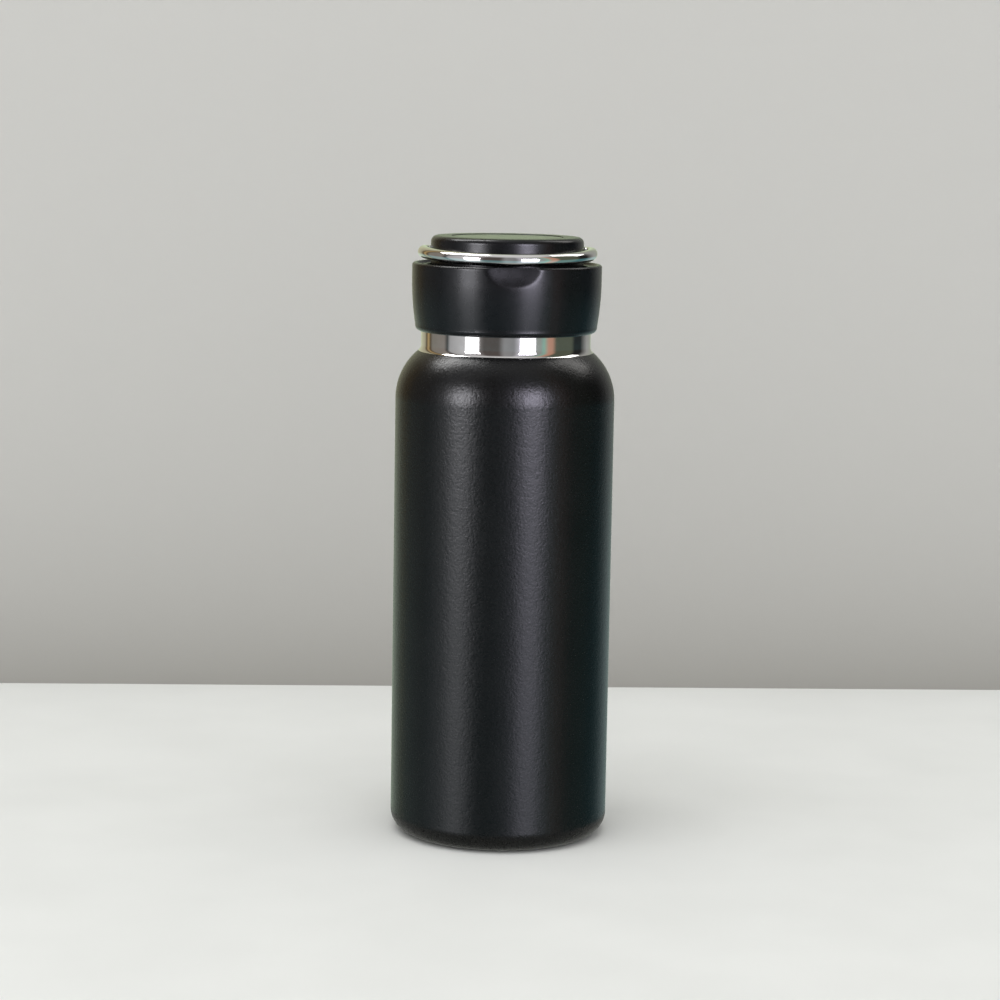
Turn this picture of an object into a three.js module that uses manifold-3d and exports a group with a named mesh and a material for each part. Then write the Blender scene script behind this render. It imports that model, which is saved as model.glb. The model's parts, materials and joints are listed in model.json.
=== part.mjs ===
// Double-walled vacuum flask with a screw lid and a folding carry ring.
// Millimetres, +Z up. The origin is the centre of the flat underside; the thumb notch of the lid faces -Y.
import * as THREE from 'three';
import { mergeVertices } from 'three/addons/utils/BufferGeometryUtils.js';
import Module from 'manifold-3d';

const wasm = await Module();
wasm.setup();

// ---------- driving dimensions ----------
const GAP = 0.3;                  // clearance left between separate pieces
const ROUND = 40;                 // facets around a large turned piece
const ROUND_SMALL = 16;           // facets around a pin, bush or screw

// body
const BODY_R = 36.5;
const BODY_WALL = 0.6;
const BASE_CORNER_R = 7;
const BASE_FOOT_INNER_R = 26.5;   // the foot is a flat ring from here to the base corner
const SHOULDER_Z = 146.8;         // where the straight side ends
const SHOULDER_R = 20.7;          // radius of the shoulder's arc
const SHOULDER_CENTRE_R = BODY_R - SHOULDER_R;

// neck
const NECK_R = 28.2;
const NECK_WALL = 0.7;
const NECK_FILLET_R = 2.5;        // hollow fillet between shoulder and neck
const NECK_BAND_TOP_Z = 170.9;
const NECK_CONE_HEIGHT = 2;
const THREAD_ROOT_R = 25.8;
const THREAD_HEIGHT = 1.1;
const THREAD_BASE_WIDTH = 1.6;
const THREAD_CREST_WIDTH = 0.7;
const THREAD_LEAD = 4;
const THREAD_START_Z = 174.9;
const THREAD_TURNS = 1.75;
const LIP_Z = 184.9;

// inner wall
const LINER_R = 33;
const LINER_WALL = 0.5;
const LINER_NECK_R = 24.9;
const LINER_FILLET_R = 3;
const LINER_CORNER_R = 8;
const LINER_FLOOR_Z = 15.5;
const LINER_WELD_Z = 24;

// vacuum closure
const VACUUM_PLATE_Z = 8.5;
const VACUUM_HOLE_R = 1.5;
const GETTER_X = 12;
const GETTER_Z = VACUUM_PLATE_Z + BODY_WALL + GAP;
const GETTER_R = 4.5;
const GETTER_WALL = 0.3;

// lid
const LID_BOTTOM_Z = 169.3;
const LID_TOP_Z = 191.9;
const LID_FLOOR_Z = 191.1;        // sunk ring-shaped top between rim and boss
const LID_MAX_R = 31.45;
const LID_WIDEST_Z = 186.5;
const LID_BARREL_R = 96;          // radius of the side's slow barrel curve
const LID_RIM_FILLET_R = 1;
const LID_RIM_CREST = 0.4;        // flat on top of the rim
const LID_RIM_SLOPE = 0.6;        // how far the rim's inner side leans in
const LID_BOTTOM_FILLET_R = 1.8;
const LID_MOUTH_R = 28.6;         // inward lip at the lid's mouth
const LID_MOUTH_LIP = 2;          // height of that lip's straight part
const LID_BORE_R = 29;
const LID_DECK_Z = 189.3;         // underside of the lid's top
const NOTCH_HALF = new THREE.Vector3(23, 1.5, 6.5);   // half axes of the thumb notch's ellipsoid

// lid insides
const LINING_R = 28.7;
const LINING_ROOT_R = 27.3;
const LINING_BOTTOM_Z = 173.2;
const LINING_FLANGE_Z = 187.2;
const LINING_TOP_Z = 189;
const PLUG_R = 23;
const PLUG_WALL = 1.5;
const PLUG_BOTTOM_Z = 170.9;

// boss, ring and screws
const BOSS_BOTTOM_R = 25.4;
const BOSS_TOP_R = 25;
const BOSS_TOP_Z = 200.8;
const BOSS_FILLET_R = 2;
const INLAY_POCKET_R = 18.5;
const INLAY_POCKET_DEPTH = 1.8;
const INLAY_SUNK = 0.2;
const RING_WIRE_R = 2;
const RING_R = 27.85;             // centreline of the wire
const RING_BEND_R = 2.2;          // of the wire's centreline where it turns in to the pivots
const RING_STEPS = 36;            // sections along the wire, ends included
const RING_BEND_STEPS = 4;
const RING_TILT = 2.8 * Math.PI / 180;
const PIVOT_Z = 195.6;
const PIVOT_PIN_R = 1.5;
const BUSH_R = 2.5;
const BUSH_BORE_R = 1.75;
const BUSH_END_X = 25.3;
const PIVOT_HOLE_DEPTH_X = 21;    // how near to the axis the blind pivot holes reach
const SCREW_CIRCLE_R = 11;
const SCREW_COUNT = 3;
const SCREW_HOLE_R = 1.8;
const SCREW_POST_R = 3.6;
const SCREW_POST_CLOSED = 1;      // solid end of each post below its screw hole
const SCREW_POST_BOTTOM_Z = 183.9;
const COUNTERBORE_R = 3.1;
const COUNTERBORE_Z = 196.9;

// ---------- materials ----------
const material = (color, roughness, metalness) => new THREE.MeshStandardMaterial({ color, roughness, metalness });
const LOOKS = {
  powderCoat: material(0x17171a, 0.5, 0),
  blackPlastic: material(0x1b1b1f, 0.42, 0),
  inlayPlastic: material(0x202224, 0.25, 0),
  polishedSteel: material(0xc9c7c3, 0.08, 1),
  brushedSteel: material(0xb4b2ae, 0.3, 1),
  whitePlastic: material(0xdedcd6, 0.5, 0),
  foam: material(0xe8e2cf, 0.9, 0),
  silicone: material(0xd8d6d0, 0.6, 0),
  glassBead: material(0x6a6f66, 0.3, 0),
  getter: material(0x55565a, 0.8, 0.3),
};

// ---------- geometry helpers ----------
const point = (r, z) => new THREE.Vector2(r, z);

// Points along an arc in the profile plane, angles in radians from the outward direction.
function arc(centreR, centreZ, radius, from, to, steps) {
  const turn = (to - from) / steps;
  return Array.from({ length: steps + 1 }, (_, i) => {
    const a = from + turn * i;
    return point(centreR + radius * Math.cos(a), centreZ + radius * Math.sin(a));
  });
}

// A closed solid from a closed three.js geometry, with its faces turned outwards.
function toSolid(geometry) {
  const bare = geometry.clone();
  bare.deleteAttribute('normal');
  bare.deleteAttribute('uv');
  const merged = mergeVertices(bare, 1e-4);
  const vertProperties = Float32Array.from(merged.attributes.position.array);
  const index = merged.index.array;
  const corner = (i) => new THREE.Vector3().fromArray(vertProperties, 3 * i);
  const triangles = [];
  let volume = 0;
  for (let i = 0; i < index.length; i += 3) {
    const [a, b, c] = [index[i], index[i + 1], index[i + 2]];
    if (a !== b && b !== c && c !== a) {
      triangles.push([a, b, c]);
      volume += corner(a).dot(corner(b).cross(corner(c)));
    }
  }
  const outward = volume > 0 ? triangles : triangles.map(([a, b, c]) => [a, c, b]);
  const triVerts = Uint32Array.from(outward.flat());
  return new wasm.Manifold(new wasm.Mesh({ numProp: 3, vertProperties, triVerts }));
}

// A solid turned around the Z axis from a profile of (radius, height) points.
// A profile that doesn't start and end on the axis is closed on itself.
function turned(profile, facets = ROUND) {
  const onAxis = profile[0].x === 0 && profile.at(-1).x === 0;
  const outline = onAxis ? profile : [...profile, profile[0]];
  const lathe = new THREE.LatheGeometry(outline, facets);
  lathe.rotateX(Math.PI / 2);
  return toSolid(lathe);
}

// A plain turned tube or ring with a rectangular section.
function tube(innerR, outerR, bottomZ, topZ, facets = ROUND) {
  const section = [point(innerR, bottomZ), point(outerR, bottomZ), point(outerR, topZ), point(innerR, topZ)];
  return turned(section, facets);
}

// An upright cylinder whose axis is at (x, y).
function upright(radius, bottomZ, topZ, x = 0, y = 0, facets = ROUND_SMALL) {
  const cylinder = new THREE.CylinderGeometry(radius, radius, topZ - bottomZ, facets);
  cylinder.rotateX(Math.PI / 2);
  cylinder.translate(x, y, (topZ + bottomZ) / 2);
  return toSolid(cylinder);
}

// A cylinder along X at the ring's pivot height.
function alongX(radius, fromX, toX, facets = ROUND_SMALL) {
  const cylinder = new THREE.CylinderGeometry(radius, radius, Math.abs(toX - fromX), facets);
  cylinder.rotateZ(Math.PI / 2);
  cylinder.translate((fromX + toX) / 2, 0, PIVOT_Z);
  return toSolid(cylinder);
}

// Right-hand screw ridge: a long box bent into a helix. Side +1 stands out of rootR, -1 stands in from it.
function threadRidge(rootR, side, startZ, turns) {
  const embed = 0.4;
  const runOut = 0.12;            // share of a turn over which each end fades
  const ridge = new THREE.BoxGeometry(1, 1, 1, Math.round(turns * ROUND), 1, 1);
  const position = ridge.attributes.position;
  for (let i = 0; i < position.count; i++) {
    const along = position.getX(i) + 0.5;
    const atCrest = position.getZ(i) > 0;
    const endTurns = turns * Math.min(along, 1 - along);
    const fade = Math.min(1, Math.max(0.1, endTurns / runOut));
    const rise = atCrest ? THREAD_HEIGHT * fade : -embed;
    const width = atCrest ? THREAD_CREST_WIDTH : THREAD_BASE_WIDTH;
    const angle = 2 * Math.PI * turns * along;
    const r = rootR + side * rise;
    const z = startZ + THREAD_LEAD * turns * along + side * position.getY(i) * width;
    position.setXYZ(i, r * Math.cos(angle), r * Math.sin(angle), z);
  }
  return toSolid(ridge);
}

function screwPlaces() {
  return Array.from({ length: SCREW_COUNT }, (_, i) => {
    const angle = Math.PI / 2 + 2 * Math.PI * i / SCREW_COUNT;
    return { x: SCREW_CIRCLE_R * Math.cos(angle), y: SCREW_CIRCLE_R * Math.sin(angle) };
  });
}

// Angle at which a shoulder arc meets the hollow fillet that turns it up into a neck.
function shoulderEnd(arcR, neckR, filletR) {
  return Math.acos((neckR + filletR - SHOULDER_CENTRE_R) / (arcR + filletR));
}

// The hollow fillet's points, from the shoulder's arc up to the vertical neck.
function neckFillet(arcR, neckR, filletR, steps) {
  const end = shoulderEnd(arcR, neckR, filletR);
  const centreZ = SHOULDER_Z + (arcR + filletR) * Math.sin(end);
  return arc(neckR + filletR, centreZ, filletR, Math.PI + end, Math.PI, steps);
}

// ---------- flask body ----------
function outerShell() {
  const end = shoulderEnd(SHOULDER_R, NECK_R, NECK_FILLET_R);
  const cornerR = BODY_R - BASE_CORNER_R;
  const outside = [
    point(BASE_FOOT_INNER_R, 0),
    ...arc(cornerR, BASE_CORNER_R, BASE_CORNER_R, -Math.PI / 2, 0, 4),
    ...arc(SHOULDER_CENTRE_R, SHOULDER_Z, SHOULDER_R, 0, end, 5),
  ];
  const inside = [
    ...arc(SHOULDER_CENTRE_R, SHOULDER_Z, SHOULDER_R - BODY_WALL, end, 0, 5),
    ...arc(cornerR, BASE_CORNER_R, BASE_CORNER_R - BODY_WALL, 0, -Math.PI / 2, 4),
    point(BASE_FOOT_INNER_R, BODY_WALL),
  ];
  return turned([...outside, ...inside]);
}

function neckRing() {
  const coneTopZ = NECK_BAND_TOP_Z + NECK_CONE_HEIGHT;
  const topZ = LIP_Z - LINER_WALL - GAP;
  const outer = neckFillet(SHOULDER_R, NECK_R, NECK_FILLET_R, 4);
  const start = outer[0].clone().lerp(outer[1], 0.5);
  const lowered = outer.slice(1).map((p) => point(p.x - NECK_WALL, p.y)).reverse();
  const wall = turned([
    start,
    ...outer.slice(1),
    point(NECK_R, NECK_BAND_TOP_Z),
    point(THREAD_ROOT_R, coneTopZ),
    point(THREAD_ROOT_R, topZ),
    point(THREAD_ROOT_R - BODY_WALL, topZ),
    point(THREAD_ROOT_R - BODY_WALL, coneTopZ),
    point(NECK_R - NECK_WALL, NECK_BAND_TOP_Z),
    ...lowered,
    point(start.x - NECK_WALL, start.y),
  ]);
  return wall.add(threadRidge(THREAD_ROOT_R, 1, THREAD_START_Z, THREAD_TURNS));
}

function innerLiner() {
  const arcR = LINER_R - SHOULDER_CENTRE_R;
  const end = shoulderEnd(arcR, LINER_NECK_R, LINER_FILLET_R);
  const insideFilletR = LINER_FILLET_R + LINER_WALL;
  const rimZ = LIP_Z - LINER_WALL;
  const boreR = LINER_NECK_R - LINER_WALL;
  return turned([
    point(LINER_R, LINER_WELD_Z + GAP),
    ...arc(SHOULDER_CENTRE_R, SHOULDER_Z, arcR, 0, end, 5),
    ...neckFillet(arcR, LINER_NECK_R, LINER_FILLET_R, 3).slice(1),
    point(LINER_NECK_R, rimZ),
    point(THREAD_ROOT_R, rimZ),
    point(THREAD_ROOT_R, LIP_Z),
    point(boreR, LIP_Z),
    ...neckFillet(arcR - LINER_WALL, boreR, insideFilletR, 3).reverse(),
    ...arc(SHOULDER_CENTRE_R, SHOULDER_Z, arcR - LINER_WALL, end, 0, 5).slice(1),
    point(LINER_R - LINER_WALL, LINER_WELD_Z + GAP),
  ]);
}

function linerBase() {
  const dome = 1.2;               // the floor rises this much at the middle
  const cornerR = LINER_R - LINER_CORNER_R;
  const cornerZ = LINER_FLOOR_Z + LINER_CORNER_R;
  return turned([
    point(0, LINER_FLOOR_Z + dome),
    ...arc(cornerR, cornerZ, LINER_CORNER_R, -Math.PI / 2, 0, 4),
    point(LINER_R, LINER_WELD_Z),
    point(LINER_R - LINER_WALL, LINER_WELD_Z),
    ...arc(cornerR, cornerZ, LINER_CORNER_R - LINER_WALL, 0, -Math.PI / 2, 4),
    point(0, LINER_FLOOR_Z + dome + LINER_WALL),
  ]);
}

function vacuumBase() {
  const outerR = BODY_R - BODY_WALL - GAP;
  const rimZ = VACUUM_PLATE_Z + 5;
  const bevel = 1;
  return turned([
    point(VACUUM_HOLE_R, VACUUM_PLATE_Z),
    point(outerR - bevel, VACUUM_PLATE_Z),
    point(outerR, VACUUM_PLATE_Z + bevel),
    point(outerR, rimZ),
    point(outerR - BODY_WALL, rimZ),
    point(outerR - BODY_WALL, VACUUM_PLATE_Z + bevel + BODY_WALL / 2),
    point(outerR - bevel - BODY_WALL / 2, VACUUM_PLATE_Z + BODY_WALL),
    point(VACUUM_HOLE_R, VACUUM_PLATE_Z + BODY_WALL),
  ]);
}

function sealBead() {
  const headR = 3.2;
  const headZ = VACUUM_PLATE_Z - GAP;
  const dome = arc(0, headZ, headR, -Math.PI / 2, 0, 4).map((p) => point(p.x, headZ + (p.y - headZ) / 2));
  dome[0].x = 0;
  const stemR = VACUUM_HOLE_R - GAP;
  const stemTop = VACUUM_PLATE_Z + BODY_WALL + GAP;
  return turned([...dome, point(stemR, headZ), point(stemR, stemTop), point(0, stemTop)], ROUND_SMALL);
}

function getterCup() {
  const height = 2.1;
  return turned([
    point(0, GETTER_Z),
    point(GETTER_R, GETTER_Z),
    point(GETTER_R, GETTER_Z + height),
    point(GETTER_R - GETTER_WALL, GETTER_Z + height),
    point(GETTER_R - GETTER_WALL, GETTER_Z + GETTER_WALL),
    point(0, GETTER_Z + GETTER_WALL),
  ], ROUND_SMALL).translate(GETTER_X, 0, 0);
}

function getterPellet() {
  const height = 1.2;
  const bottomZ = GETTER_Z + GETTER_WALL + GAP;
  return upright(GETTER_R - GETTER_WALL - GAP, bottomZ, bottomZ + height, GETTER_X);
}

function baseCap() {
  const outerR = BASE_FOOT_INNER_R - GAP;
  const plateZ = 1.8;
  const rimWidth = 2;
  return turned([
    point(0, plateZ),
    point(outerR - rimWidth, plateZ),
    point(outerR - BODY_WALL, GAP),
    point(outerR, GAP),
    point(outerR, plateZ + BODY_WALL),
    point(0, plateZ + BODY_WALL),
  ]);
}

// ---------- lid ----------
// Radius of the lid's barrel-shaped side at a height.
function lidSideR(z) {
  const below = Math.max(0, LID_WIDEST_Z - z);
  return LID_MAX_R - LID_BARREL_R + Math.sqrt(LID_BARREL_R ** 2 - below ** 2);
}

function lidShell() {
  const sideBottomZ = LID_BOTTOM_Z + LID_BOTTOM_FILLET_R;
  const sideSteps = 4;
  const side = Array.from({ length: sideSteps + 1 }, (_, i) => {
    const z = sideBottomZ + (LID_WIDEST_Z - sideBottomZ) * i / sideSteps;
    return point(lidSideR(z), z);
  });
  const rimR = LID_MAX_R - LID_RIM_FILLET_R;
  const rimZ = LID_TOP_Z - LID_RIM_FILLET_R;
  const filletR = lidSideR(sideBottomZ) - LID_BOTTOM_FILLET_R;
  let solid = turned([
    point(0, LID_DECK_Z),
    point(LID_BORE_R, LID_DECK_Z),
    point(LID_BORE_R, LID_BOTTOM_Z + LID_MOUTH_LIP + 0.4),
    point(LID_MOUTH_R, LID_BOTTOM_Z + LID_MOUTH_LIP),
    point(LID_MOUTH_R, LID_BOTTOM_Z),
    point(LID_MOUTH_R + 0.4, LID_BOTTOM_Z),
    ...arc(filletR, sideBottomZ, LID_BOTTOM_FILLET_R, -1.2, 0, 3).slice(0, -1),
    ...side,
    ...arc(rimR, rimZ, LID_RIM_FILLET_R, 0, Math.PI / 2, 3),
    point(rimR - LID_RIM_CREST, LID_TOP_Z),
    point(rimR - LID_RIM_CREST - LID_RIM_SLOPE, LID_FLOOR_Z),
    point(0, LID_FLOOR_Z),
  ]);
  for (const { x, y } of screwPlaces()) {
    solid = solid.add(upright(SCREW_POST_R, SCREW_POST_BOTTOM_Z, LID_DECK_Z + 0.5, x, y));
    solid = solid.subtract(upright(SCREW_HOLE_R, SCREW_POST_BOTTOM_Z + SCREW_POST_CLOSED, LID_FLOOR_Z + 1, x, y));
  }
  return solid.subtract(thumbNotch());
}

// Flat ellipsoid that cuts the thumb notch into the front of the lid, open at the rim.
function thumbNotch() {
  const scoop = new THREE.SphereGeometry(1, 32, 20);
  scoop.scale(NOTCH_HALF.x, NOTCH_HALF.y, NOTCH_HALF.z);
  scoop.translate(0, -LID_MAX_R, LID_TOP_Z + 0.2);
  return toSolid(scoop);
}

function lidLiner() {
  const chamfer = 1;
  const cup = turned([
    point(0, PLUG_BOTTOM_Z),
    point(PLUG_R - chamfer, PLUG_BOTTOM_Z),
    point(PLUG_R, PLUG_BOTTOM_Z + chamfer),
    point(PLUG_R, LINING_FLANGE_Z),
    point(LINING_ROOT_R, LINING_FLANGE_Z),
    point(LINING_ROOT_R, LINING_BOTTOM_Z),
    point(LINING_R, LINING_BOTTOM_Z),
    point(LINING_R, LINING_TOP_Z),
    point(PLUG_R - PLUG_WALL, LINING_TOP_Z),
    point(PLUG_R - PLUG_WALL, PLUG_BOTTOM_Z + PLUG_WALL),
    point(0, PLUG_BOTTOM_Z + PLUG_WALL),
  ]);
  // This ridge lies half a lead above the neck's, between its turns, and starts a quarter turn before it.
  const startTurn = -0.25;
  const startZ = THREAD_START_Z + THREAD_LEAD * (0.5 + startTurn);
  return cup.add(threadRidge(LINING_ROOT_R, -1, startZ, THREAD_TURNS).rotate([0, 0, 360 * startTurn]));
}

function lidFoam() {
  let foam = tube(0, PLUG_R - PLUG_WALL - GAP, PLUG_BOTTOM_Z + PLUG_WALL + GAP, LINING_TOP_Z);
  for (const { x, y } of screwPlaces()) {
    foam = foam.subtract(upright(SCREW_POST_R + GAP, SCREW_POST_BOTTOM_Z - GAP, LINING_TOP_Z + 1, x, y));
  }
  return foam;
}

// Silicone ring with a raised bead where it meets the lip.
function lidGasket() {
  const innerR = PLUG_R + GAP;
  const outerR = LINING_ROOT_R - GAP;
  const bottomZ = LIP_Z + GAP;
  const topZ = LINING_FLANGE_Z - GAP;
  const ringZ = bottomZ + 0.5;
  const beadR = (THREAD_ROOT_R + LINER_NECK_R - LINER_WALL) / 2;
  const beadFoot = 1;             // half widths of the bead
  const beadCrest = 0.4;
  return turned([
    point(innerR, ringZ),
    point(beadR - beadFoot, ringZ),
    point(beadR - beadCrest, bottomZ),
    point(beadR + beadCrest, bottomZ),
    point(beadR + beadFoot, ringZ),
    point(outerR, ringZ),
    point(outerR, topZ),
    point(innerR, topZ),
  ]);
}

// ---------- boss on the lid ----------
function handleBoss() {
  const bottomZ = LID_FLOOR_Z + GAP;
  let boss = turned([
    point(0, bottomZ),
    point(BOSS_BOTTOM_R, bottomZ),
    ...arc(BOSS_TOP_R - BOSS_FILLET_R, BOSS_TOP_Z - BOSS_FILLET_R, BOSS_FILLET_R, 0, Math.PI / 2, 4),
    point(INLAY_POCKET_R, BOSS_TOP_Z),
    point(INLAY_POCKET_R, BOSS_TOP_Z - INLAY_POCKET_DEPTH),
    point(0, BOSS_TOP_Z - INLAY_POCKET_DEPTH),
  ]);
  for (const { x, y } of screwPlaces()) {
    boss = boss.subtract(upright(SCREW_HOLE_R, bottomZ - 1, BOSS_TOP_Z, x, y));
    boss = boss.subtract(upright(COUNTERBORE_R, COUNTERBORE_Z, BOSS_TOP_Z, x, y));
  }
  for (const side of [-1, 1]) {
    boss = boss.subtract(alongX(BUSH_R + GAP, side * PIVOT_HOLE_DEPTH_X, side * (BOSS_BOTTOM_R + 1)));
  }
  return boss;
}

function topInlay() {
  const r = INLAY_POCKET_R - GAP;
  const bottomZ = BOSS_TOP_Z - INLAY_POCKET_DEPTH + GAP;
  const topZ = BOSS_TOP_Z - INLAY_SUNK;
  const bevel = 0.2;
  const dish = 0.25;
  return turned([
    point(0, bottomZ),
    point(r, bottomZ),
    point(r, topZ - bevel),
    point(r - bevel, topZ),
    point(0, topZ - dish),
  ]);
}

// Pan-head screw with a cross recess.
function bossScrew(x, y) {
  const headR = COUNTERBORE_R - GAP;
  const headZ = COUNTERBORE_Z + GAP;
  const headTopZ = headZ + 1.4;
  const shankR = SCREW_HOLE_R - GAP;
  const tipZ = SCREW_POST_BOTTOM_Z + SCREW_POST_CLOSED + GAP;
  let screw = turned([
    point(0, tipZ),
    point(shankR - 0.6, tipZ),
    point(shankR, tipZ + 1),
    point(shankR, headZ),
    point(headR, headZ),
    point(headR, headTopZ - 0.5),
    point(headR - 0.7, headTopZ),
    point(0, headTopZ),
  ], ROUND_SMALL);
  for (const turn of [0, Math.PI / 2]) {
    const slot = new THREE.BoxGeometry(3, 0.7, 1.4);
    slot.rotateZ(turn);
    slot.translate(0, 0, headTopZ);
    screw = screw.subtract(toSolid(slot));
  }
  return screw.translate(x, y, 0);
}

// ---------- carry ring and its bushes ----------
// Bush in the boss's side; side is +1 for the right, -1 for the left.
function pivotBush(side) {
  const sleeve = alongX(BUSH_R, side * (PIVOT_HOLE_DEPTH_X + GAP), side * BUSH_END_X);
  return sleeve.subtract(alongX(BUSH_BORE_R, side * (PIVOT_HOLE_DEPTH_X - 1), side * (BUSH_END_X + 1)));
}

// Centreline of the ring in its own plane: a bend out of the right pivot, the half circle, a bend into the left.
// Each bend touches the half circle and the pivot axis smoothly.
class BailCurve extends THREE.Curve {
  getUtoTmapping(u) {
    return u;
  }

  getPoint(t) {
    const side = t < 0.5 ? 1 : -1;
    const fromEnd = Math.min(t, 1 - t);
    const bendShare = RING_BEND_STEPS / RING_STEPS;
    const joinAngle = Math.asin(RING_BEND_R / (RING_R - RING_BEND_R));
    if (fromEnd < bendShare) {
      const a = Math.PI / 2 - (Math.PI / 2 + joinAngle) * fromEnd / bendShare;
      const centreX = (RING_R - RING_BEND_R) * Math.cos(joinAngle);
      const x = centreX + RING_BEND_R * Math.cos(a);
      return new THREE.Vector3(side * x, RING_BEND_R * (Math.sin(a) - 1), 0);
    }
    const a = joinAngle + (Math.PI / 2 - joinAngle) * (fromEnd - bendShare) / (0.5 - bendShare);
    return new THREE.Vector3(side * RING_R * Math.cos(a), -RING_R * Math.sin(a), 0);
  }
}

function carryRing() {
  const wireFacets = 12;
  const section = Array.from({ length: wireFacets }, (_, i) => {
    const a = 2 * Math.PI * i / wireFacets;
    return new THREE.Vector2(RING_WIRE_R * Math.cos(a), RING_WIRE_R * Math.sin(a));
  });
  const options = { steps: RING_STEPS, extrudePath: new BailCurve() };
  const wire = new THREE.ExtrudeGeometry(new THREE.Shape(section), options);
  wire.rotateX(RING_TILT);
  wire.translate(0, 0, PIVOT_Z);
  let ring = toSolid(wire);
  const pinRootX = RING_R - 1;    // inside the wire, past the start of its bend
  for (const side of [-1, 1]) {
    ring = ring.add(alongX(PIVOT_PIN_R, side * (PIVOT_HOLE_DEPTH_X + 2 * GAP), side * pinRootX));
  }
  return ring;
}

// ---------- assembly ----------
function piece(name, solid, look) {
  const { vertProperties, triVerts } = solid.getMesh();
  const geometry = new THREE.BufferGeometry();
  geometry.setAttribute('position', new THREE.BufferAttribute(vertProperties, 3));
  geometry.setIndex(new THREE.BufferAttribute(triVerts, 1));
  geometry.computeVertexNormals();
  const mesh = new THREE.Mesh(geometry, look);
  mesh.name = name;
  return mesh;
}

const flask = new THREE.Group();
flask.add(
  piece('outer_shell', outerShell(), LOOKS.powderCoat),
  piece('neck_ring', neckRing(), LOOKS.polishedSteel),
  piece('inner_liner', innerLiner(), LOOKS.brushedSteel),
  piece('liner_base', linerBase(), LOOKS.brushedSteel),
  piece('vacuum_base', vacuumBase(), LOOKS.brushedSteel),
  piece('seal_bead', sealBead(), LOOKS.glassBead),
  piece('getter_cup', getterCup(), LOOKS.brushedSteel),
  piece('getter_pellet', getterPellet(), LOOKS.getter),
  piece('base_cap', baseCap(), LOOKS.powderCoat),
);

const lid = new THREE.Group();
lid.add(
  piece('lid_shell', lidShell(), LOOKS.blackPlastic),
  piece('lid_liner', lidLiner(), LOOKS.whitePlastic),
  piece('lid_foam', lidFoam(), LOOKS.foam),
  piece('lid_gasket', lidGasket(), LOOKS.silicone),
  piece('handle_boss', handleBoss(), LOOKS.blackPlastic),
  piece('top_inlay', topInlay(), LOOKS.inlayPlastic),
  piece('pivot_bush_left', pivotBush(-1), LOOKS.blackPlastic),
  piece('pivot_bush_right', pivotBush(1), LOOKS.blackPlastic),
  piece('carry_ring', carryRing(), LOOKS.polishedSteel),
  ...screwPlaces().map(({ x, y }, i) => piece(`boss_screw_${i + 1}`, bossScrew(x, y), LOOKS.polishedSteel)),
);

const vacuumFlask = new THREE.Group();
vacuumFlask.add(flask, lid);
export default vacuumFlask;
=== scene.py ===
"""Vacuum flask: fine surfaces, materials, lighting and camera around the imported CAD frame.

One soft light and white surroundings light the flask. Glossy surfaces reflect a stand-in for the room in the
photo instead.

Shape code is in millimetres and is scaled to metres when a mesh is made. Angles around the flask start at
the front (-Y) and grow towards +X.
"""
import json
import math

import bmesh
import bpy
from mathutils import Matrix, Vector

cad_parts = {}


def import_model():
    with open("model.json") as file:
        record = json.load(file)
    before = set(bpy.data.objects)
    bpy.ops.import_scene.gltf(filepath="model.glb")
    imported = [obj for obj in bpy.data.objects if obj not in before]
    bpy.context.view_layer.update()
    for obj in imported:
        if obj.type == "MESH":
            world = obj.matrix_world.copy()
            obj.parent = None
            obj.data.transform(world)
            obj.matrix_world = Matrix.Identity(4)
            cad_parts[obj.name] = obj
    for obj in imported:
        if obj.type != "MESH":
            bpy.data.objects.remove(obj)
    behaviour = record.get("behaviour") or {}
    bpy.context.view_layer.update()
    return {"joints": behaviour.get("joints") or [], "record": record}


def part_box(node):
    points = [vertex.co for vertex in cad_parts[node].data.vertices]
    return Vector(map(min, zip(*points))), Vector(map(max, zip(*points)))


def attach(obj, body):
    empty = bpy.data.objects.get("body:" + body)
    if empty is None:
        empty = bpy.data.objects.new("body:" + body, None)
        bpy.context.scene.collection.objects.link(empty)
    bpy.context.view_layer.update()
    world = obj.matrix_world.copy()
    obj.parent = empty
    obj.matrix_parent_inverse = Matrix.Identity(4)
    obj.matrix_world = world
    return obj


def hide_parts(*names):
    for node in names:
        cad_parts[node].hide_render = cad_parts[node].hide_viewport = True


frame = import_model()

MM = 0.001
COLUMNS = 192           # columns around a large turned piece
SMALL_COLUMNS = 64      # columns around a screw, bush or pellet
ARC_STEP = math.radians(9)
CREASE = math.radians(35)


# ---------- sizes in millimetres, read from the CAD ----------
def low(node):
    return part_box(node)[0] / MM


def high(node):
    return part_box(node)[1] / MM


def radius(node):
    return (high(node).x - low(node).x) / 2


JOINTS = {joint["name"]: joint for joint in frame["joints"]}
PIVOT_Z = JOINTS["ring_fold"]["pos_m"][2] / MM
THREAD_LEAD = frame["record"]["behaviour"]["couplings"][0]["ratio"] * 2 * math.pi / MM

GAP = 0.3               # clearance between pieces
SHEET = 0.6             # steel sheet of the outer wall
LINER_SHEET = 0.5
BODY_R = radius("outer_shell")
BASE_CORNER_R = 7
FOOT_INNER_R = radius("base_cap") + GAP
SHOULDER_R = 20.7
SHOULDER_CENTRE_R = BODY_R - SHOULDER_R
NECK_R = 28.2
NECK_FILLET_R = 2.5
LIP_Z = high("inner_liner").z
NECK_BAND_TOP = LIP_Z - 14
THREAD_ROOT_R = 25.8
THREAD_HEIGHT = 1.1
THREAD_BASE = 1.7       # width of the ridge at its root
THREAD_CREST = 0.5
THREAD_START = LIP_Z - 10
THREAD_TURNS = 1.75
LINER_R = radius("inner_liner")
LINER_NECK_R = 24.9
LINER_FILLET_R = 3

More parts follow.
